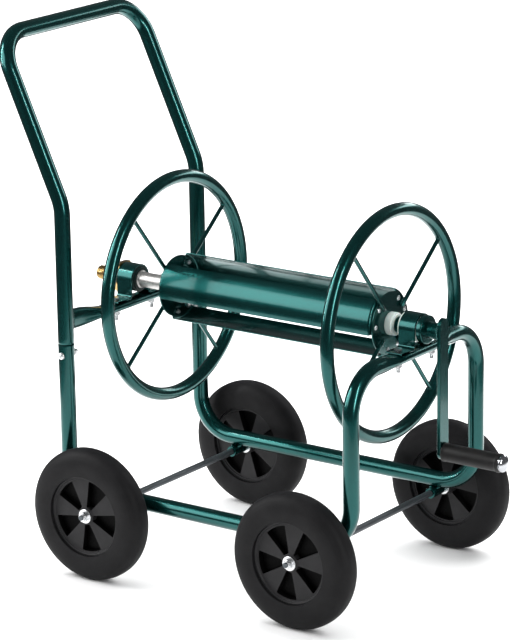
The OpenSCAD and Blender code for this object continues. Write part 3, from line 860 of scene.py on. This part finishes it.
def tyre_profile():
    """The tyre's section in mm, as (radius, half width), with two fine grooves in each side."""
    half_w, r_in, r_out = 26.0, 76.0, 125.0
    pts = []
    steps = 60
    for k in range(steps + 1):
        a = math.pi * k / steps
        f = math.sin(a) ** 0.72
        w = (abs(math.cos(a)) ** 0.72) * (1 - 0.12 * (1 - f) ** 2) / 0.9465
        r = r_in + (r_out - r_in) * f
        x = math.copysign(min(w, 1.0) * half_w, math.cos(a))
        groove = 0.35 * math.exp(-(((r - 84.0) / 0.8) ** 2))
        groove += 0.3 * math.exp(-(((r - 112.0) / 1.1) ** 2))
        pts.append((r, x * (1 - groove / half_w)))
    return pts


def wheel_frame(name):
    """A wheel's centre, with Z pointing out of the cart and X up."""
    j = JOINT["wheel_" + name + "_spin"]["pos_m"]
    return basis(j, Y if j[1] > 0 else -Y, Z)


def build_tyre(name):
    profile = in_mm(tyre_profile())[::-1]
    shape = lathe(profile, 144, wheel_frame(name), closed=True)
    stands_for = ("tyre_" + name,)
    piece("tyre_body_" + name, shape, TYRE, "wheel_" + name, stands_for, sharp=60)


def sector(r0, r1, half_deg, cut):
    """A wedge window's outline with rounded corners."""
    a = math.radians(half_deg)
    pts = [Vector((r0 * math.cos(-a), r0 * math.sin(-a)))]
    for k in range(-4, 5):
        pts.append(Vector((r1 * math.cos(k / 4 * a), r1 * math.sin(k / 4 * a))))
    pts.append(Vector((r0 * math.cos(a), r0 * math.sin(a))))
    out = []
    for i, p in enumerate(pts):
        before, after = pts[i - 1], pts[(i + 1) % len(pts)]
        u, v = before - p, after - p
        if u.angle(v) > math.radians(165):
            out.append(tuple(p))
        else:
            out += corner(before, p, after, min(cut, u.length * 0.4, v.length * 0.4), 6)
    return out


def temporary(shape):
    mesh = raw_mesh("cutter", shape)
    bm = bmesh.new()
    bm.from_mesh(mesh)
    bmesh.ops.recalc_face_normals(bm, faces=bm.faces)
    bm.to_mesh(mesh)
    bm.free()
    return add_object("cutter", mesh)


def carve(obj, cutter):
    """Cuts the cutter from the object and leaves the plain result."""
    mod = obj.modifiers.new("cut", "BOOLEAN")
    mod.operation = "DIFFERENCE"
    mod.solver = "EXACT"
    mod.object = cutter
    dg = bpy.context.evaluated_depsgraph_get()
    mesh = bpy.data.meshes.new_from_object(obj.evaluated_get(dg))
    obj.modifiers.clear()
    old = obj.data
    obj.data = mesh
    bpy.data.meshes.remove(old)
    bpy.data.objects.remove(cutter)


def rim_mesh():
    """One wheel centre about Z, facing +Z, with its ten pockets cut."""
    face = [
        (0.0, -25.5), (15.5, -25.5), (16.0, -25.0), (16.0, -15.6), (17.5, -15.0), (70.0, -15.0),
        (71.2, -18.0), (75.96, -18.0), (75.96, 18.0), (74.4, 18.0), (73.0, 17.4), (71.6, 15.0),
        (69.5, 14.8), (30.0, 15.0), (19.0, 15.6), (15.6, 16.9), (13.0, 17.5), (0.0, 17.5),
    ]
    body = temporary(lathe(rounded(in_mm(face), 0.7 * MM, 3), 120))
    cutters = Shape()
    outline = in_mm(sector(17.5, 68, 18.75, 1.6))
    for k in range(5):
        turn = Matrix.Rotation(2 * math.pi * k / 5, 4, "Z")
        for z in (3 * MM, -23 * MM):
            cutters.merge(extrude(outline, 20 * MM), turn @ Matrix.Translation((0, 0, z)))
    carve(body, temporary(cutters))
    bore = temporary(lathe([(6.45 * MM, -40 * MM), (6.45 * MM, 40 * MM)], 48))
    carve(body, bore)
    mesh = body.data
    bpy.data.objects.remove(body)
    # Faces inside the pockets are given the second material, which is painted shade.
    for f in mesh.polygons:
        across, height = f.center.xy.length, abs(f.center.z)
        f.material_index = int(17 * MM < across < 69 * MM and height < 13.5 * MM)
    return mesh


def build_rims():
    base = rim_mesh()
    for name, phase in WHEEL_PHASE.items():
        mesh = base.copy()
        mesh.name = "rim_body_" + name
        mesh.transform(wheel_frame(name) @ Matrix.Rotation(math.radians(phase), 4, "Z"))
        for f in mesh.polygons:
            f.use_smooth = True
        which = [f.material_index for f in mesh.polygons]
        mesh.materials.clear()
        mesh.materials.append(RIM)
        # The second slot holds the pockets' painted shade.
        mesh.materials.append(RIM_POCKET_SHADE)
        mesh.polygons.foreach_set("material_index", which)
        obj = add_object("rim_body_" + name, mesh)
        soften_edges(obj, 0.7 * MM, math.radians(50), 2, 50)
        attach(obj, "wheel_" + name)
        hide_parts("rim_" + name)
    bpy.data.meshes.remove(base)


# Reel ---------------------------------------------------------------------------------------

SPOKE_ANGLE = 39.0
PANEL_ANGLE = 38.0
DISC_T = 3 * MM


def around(angle_deg, r, x):
    a = math.radians(angle_deg)
    return Vector((x, r * math.cos(a), REEL_Z + r * math.sin(a)))


def build_rings():
    rod_r = 4 * MM
    for end, name in enumerate(("rear", "front")):
        x = RING_X[end]
        loop = [around(2 * k, RING_R, x) for k in range(180)]
        shape = sweep(loop, lambda i, p: circle(RING_TUBE_R), X, closed=True)
        piece(name + "_ring_tube", shape, PAINT, "reel", (name + "_ring",))
        rods, welds = Shape(), Shape()
        for k in range(4):
            a = SPOKE_ANGLE + 90 * k
            inner, outer = around(a, 40 * MM, x), around(a, RING_R - 11.2 * MM, x)
            out = (outer - inner).normalized()
            tip = [inner - out * 1.2 * MM, inner - out * 0.6 * MM, inner]
            radii = [2.6 * MM, 3.6 * MM]
            line = tip + spaced([inner, outer], 20 * MM)[1:]
            rods.merge(sweep(line, lambda i, p: circle(radii[i] if i < 2 else rod_r, 24), X))
            tangent = X.cross(out)
            loop = []
            for c, s in circle(4.1 * MM, 24):
                back = math.sqrt(RING_TUBE_R**2 - c**2)
                loop.append(around(a, RING_R - back, x) + X * c + tangent * s)
            welds.merge(bead(loop, 1.4 * MM, seed=k))
            sink = X * (3.1 * MM if end == 0 else -3.1 * MM)
            for side in (-1, 1):
                offset = tangent * side * 3.4 * MM + sink
                run = [around(a, (42 + 1.5 * q) * MM, x) + offset for q in range(10)]
                welds.merge(bead(run, 1.5 * MM, closed=False, seed=k + side))
        piece(name + "_spoke_rods", rods, PAINT, "reel", (name + "_spokes",))
        piece(name + "_spoke_welds", welds, PAINT, "reel")


def build_discs():
    for name, bore in (("rear", 10.0 * MM), ("front", 15.0 * MM)):
        low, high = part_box(name + "_disc")
        r = high.z - REEL_Z
        shape = reel_ring([(low.x, r), (high.x, r)], bore, sides=120)
        piece(name + "_disc_plate", shape, PAINT, "reel", (name + "_disc",))


def panel_shape(k):
    """A curved drum panel: its ends folded in on a small radius, and its sides left as sheared."""
    x0, x1 = DISC_FACE[0] + DISC_T, DISC_FACE[1] - DISC_T
    r_out, r_in, t, fold = 63.5 * MM, 40 * MM, 2 * MM, 5 * MM

    def side(inset):
        """The sheet's outer or inner side: a folded end, and the same mirrored."""
        bend = fold - inset
        left = [(r_in, x0 + inset)]
        for q in range(9):
            a = math.pi / 2 * q / 8
            left.append((r_out - fold + bend * math.sin(a), x0 + fold - bend * math.cos(a)))
        return left + [(r, x0 + x1 - x) for r, x in reversed(left)]

    outside = side(0)
    loop = outside + side(t)[::-1]
    centre, half = PANEL_ANGLE + 120 * k, 31.0
    cols, rows = len(loop), 33
    verts = []
    for i in range(rows):
        a = centre - half + 2 * half * i / (rows - 1)
        verts += [around(a, r, x) for r, x in loop]
    faces = grid_faces(rows, cols)
    n = len(outside)
    for row in (0, rows - 1):
        for j in range(n - 1):
            a, b = row * cols + j, row * cols + j + 1
            c, d = row * cols + cols - 2 - j, row * cols + cols - 1 - j
            faces.append((a, b, c, d))
    return Shape().add(verts, faces)


def build_panels():
    for k in range(3):
        piece(
            "drum_sheet_%d" % (k + 1),
            panel_shape(k),
            PAINT,
            "reel",
            ("drum_panel_%d" % (k + 1),),
            bevel=0.45 * MM,
            sharp=55,
            segments=2,
        )


def build_panel_screws():
    screws, nuts = Shape(), Shape()
    for end, out in enumerate((-X, X)):
        for k in range(3):
            for side in (-1, 1):
                a = PANEL_ANGLE + 120 * k + side * 19
                face = around(a, 48 * MM, DISC_FACE[end])
                turn = Matrix.Rotation(a * 0.37 + k, 4, "Z")
                screws.merge(pan_head(4.4 * MM, 2.75 * MM), basis(face, out) @ turn)
                inner = basis(face - out * 5 * MM, -out)
                screws.merge(thread(2.5 * MM, 7 * MM, 0.8 * MM, 0.35 * MM, 20), inner)
                nuts.merge(hexagon(8 * MM, 4 * MM, 2.4 * MM), inner @ turn)
    piece("panel_screw_set", screws, ZINC, "reel", ("panel_screws",))
    piece("panel_nut_set", nuts, ZINC, "reel", ("panel_nuts",))


def build_shaft():
    low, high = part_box("crank_shaft")
    shape = reel_ring([(low.x, 15 * MM), (high.x, 15 * MM)], 12.5 * MM)
    piece("crank_shaft_tube", shape, PAINT, "reel", ("crank_shaft",))
    low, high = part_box("shaft_collar")
    shape = reel_ring([(low.x, 26 * MM), (high.x, 26 * MM)], 14.9 * MM, 1.6 * MM)
    piece("shaft_collar_ring", shape, PAINT, "reel", ("shaft_collar",))
    low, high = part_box("reel_spacer")
    step, wide, narrow = low.x + 13 * MM, 21 * MM, 18.5 * MM
    pairs = [(low.x, wide), (step, wide), (step, narrow), (high.x, narrow)]
    shape = reel_ring(pairs, 14.9 * MM, 1.0 * MM)
    piece("reel_spacer_ring", shape, NYLON, "reel", ("reel_spacer",))


def build_swivel():
    nose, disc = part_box("swivel_pipe")[0].x, DISC_FACE[0]
    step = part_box("rear_bush")[1].x + 2 * MM
    strap_out = REAR_X - STRAP_HALF
    pairs = [
        (nose, 7.2 * MM),
        (nose, 10 * MM),
        (strap_out, 10 * MM),
        (strap_out, 17 * MM),
        (step, 17 * MM),
        (step + 2.2 * MM, 14.3 * MM),
        (disc - 13 * MM, 14.3 * MM),
        (disc - 11 * MM, 18 * MM),
        (disc, 18 * MM),
        (disc, 9.5 * MM),
        (disc + 5.5 * MM, 9.5 * MM),
        (disc + 5.5 * MM, 0.3 * MM),
    ]
    shape = along_reel(pairs, 1.0 * MM)
    at = basis((disc - 41 * MM, 0, REEL_Z), Y)
    boss = [(0.3, 3), (14.3, 3), (14.3, 23), (16, 24), (16, 30), (14, 30.5), (7.2, 30.5)]
    shape.merge(lathe(in_mm(rounded(boss, 0.9)), 64), at)
    shape.merge(pipe_thread(7.2 * MM, 21.5 * MM), at @ Matrix.Translation((0, 0, 30.4 * MM)))
    piece("swivel_body", shape, ALLOY, "reel", ("swivel_pipe", "swivel_seal"))


def build_crank():
    low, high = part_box("crank_arm")
    half = (high.y - low.y) / 2
    top, bottom = high.z - half, GRIP_Z
    outline = arc(0, top, half, 0, 180, 28) + arc(0, bottom, half, 180, 360, 28)
    shape = extrude(outline, high.x - low.x, along_x(low.x))
    piece("crank_bar", shape, PAINT, "reel", ("crank_arm",), bevel=0.9 * MM, sharp=50)
    ring = [around(10 * k, 15.4 * MM, low.x - 0.3 * MM) for k in range(36)]
    piece("crank_weld", bead(ring, 2.0 * MM, seed=2.0), PAINT, "reel")
    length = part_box("grip_spindle")[1].x - low.x - 0.2 * MM
    shape = Shape().merge(pan_head(9 * MM, 5 * MM), basis((low.x, 0, GRIP_Z), -X))
    profile = [(0.0, 0.0), (5 * MM, 0.0), (5 * MM, length), (0.0, length)]
    shape.merge(lathe(profile, 32), basis((low.x, 0, GRIP_Z), X))
    piece("grip_pin", shape, ZINC, "reel", ("grip_spindle",))


def build_grip():
    low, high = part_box("crank_grip")
    end = (high.x - low.x) / MM
    pairs = [
        (5.1, 0.0), (15.6, 0.0), (17.4, 1.2), (17.5, 3.4), (16.6, 5.2), (16.3, 9.0), (16.5, 30.0),
        (16.5, end - 32), (16.3, end - 11), (16.7, end - 6.2), (17.5, end - 4.6),
        (17.4, end - 1.4), (15.8, end), (5.1, end),
    ]
    profile = rounded(in_mm(pairs), 0.8 * MM)
    shape = lathe(profile, 72, basis((low.x, 0, GRIP_Z), X), closed=True)
    piece("grip_sleeve", shape, BLACK, "grip", ("crank_grip",))
    low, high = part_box("grip_cap")
    h, r, wall = (high.x - low.x) / MM, (high.z - low.z) / 2 / MM, 4.0
    pairs = [(5.0, 0.0), (r - 0.5, 0.0), (r, 0.8), (r, 3.6)]
    for q in range(14):
        a = math.pi / 2 * q / 14
        pairs.append((r * math.cos(a), wall + (h - wall) * math.sin(a)))
    pairs.append((0.0, h))
    shape = lathe(in_mm(pairs), 72, basis((low.x, 0, GRIP_Z), X))
    piece("grip_end_cap", shape, CHROME, "reel", ("grip_cap",), sharp=60)


build_hoop()
build_rear_crossbar()
build_handle()
build_axles()
build_handle_bolts()
build_strap_bolts()
build_axle_hardware()
build_straps()
build_bushes()
build_inlet()
for wheel in WHEEL_PHASE:
    build_tyre(wheel)
build_rims()
build_rings()
build_discs()
build_panels()
build_panel_screws()
build_shaft()
build_swivel()
build_crank()
build_grip()

# Studio -------------------------------------------------------------------------------------

AZIMUTH, ELEVATION, ROLL = math.radians(36.0), math.radians(15.8), math.radians(-0.91)
CAMERA_AT = (3.3641, -4.7010, 2.1086)
FOCAL_PX, FRAME_HEIGHT_PX, SENSOR_MM = 3289.9, 640, 36


def build_floor():
    """A pale floor in two parts. The outer one isn't seen in reflections."""
    n = Nodes("studio_floor").set(Specular_IOR_Level=0.2)
    n.colour(n.ramp(n.noise(3, 2), (0.3, (0.80, 0.80, 0.80)), (0.7, (0.82, 0.82, 0.82))))
    n.roughness(n.noise(5, 2), 0.7, 0.8)
    sides, near, far = 96, 1.45, 40.0
    inner, outer = ([(r * x, r * y, 0) for x, y in circle(1.0, sides)] for r in (near, far))
    around_faces = grid_faces(2, sides)
    parts = {
        "floor": (inner, [tuple(range(sides))], True),
        "floor_around": (inner + outer, [f[::-1] for f in around_faces], False),
    }
    for name, (verts, faces, seen) in parts.items():
        mesh = bpy.data.meshes.new(name)
        mesh.from_pydata(verts, [], faces)
        mesh.materials.append(n.mat)
        obj = add_object(name, mesh)
        obj.visible_glossy = seen


def area_light(name, at, target, size, watts):
    data = bpy.data.lights.new(name, "AREA")
    data.shape = "RECTANGLE"
    data.size, data.size_y = size
    data.energy = watts
    obj = add_object(name, data)
    obj.location = at
    obj.rotation_euler = (Vector(target) - Vector(at)).to_track_quat("-Z", "Y").to_euler()
    return obj


def build_light():
    """A dim world, a wide soft light overhead and four boxes that make the highlights."""
    world = bpy.data.worlds.new("studio")
    bpy.context.scene.world = world
    world.use_nodes = True
    background = world.node_tree.nodes["Background"]
    background.inputs["Color"].default_value = (0.95, 0.97, 1.0, 1)
    background.inputs["Strength"].default_value = 0.12
    overhead = area_light("overhead", (-2.3, 2.4, 4.4), (-2.3, 2.4, 0), (9.5, 7.5), 1180)
    overhead.rotation_euler = (0, 0, AZIMUTH)
    overhead.visible_glossy = False
    target = (0, 0, 0.45)
    area_light("left_box", (-2.0, -2.4, 2.0), target, (1.8, 1.9), 46)
    area_light("left_strip", (-2.9, -1.5, 1.9), target, (0.2, 2.6), 70)
    area_light("right_box", (2.9, -1.2, 1.6), target, (0.2, 2.4), 55)
    area_light("back_box", (0.6, 3.4, 1.9), target, (3.0, 0.6), 30)
    view = bpy.context.scene.view_settings
    view.view_transform = "Standard"
    view.look = "None"


def build_camera():
    cos_e, sin_e = math.cos(ELEVATION), math.sin(ELEVATION)
    forward = Vector((-math.sin(AZIMUTH) * cos_e, math.cos(AZIMUTH) * cos_e, -sin_e))
    right = Vector((math.cos(AZIMUTH), math.sin(AZIMUTH), 0))
    up = right.cross(forward)
    r = math.cos(ROLL) * right + math.sin(ROLL) * up
    u = -math.sin(ROLL) * right + math.cos(ROLL) * up
    data = bpy.data.cameras.new("camera")
    data.sensor_width = SENSOR_MM
    data.lens = FOCAL_PX / FRAME_HEIGHT_PX * SENSOR_MM
    data.clip_start, data.clip_end = 0.1, 100
    obj = add_object("camera", data)
    m = Matrix((r, u, -forward)).transposed().to_4x4()
    m.translation = CAMERA_AT
    obj.matrix_world = m
    bpy.context.scene.camera = obj


build_floor()
build_light()
build_camera()
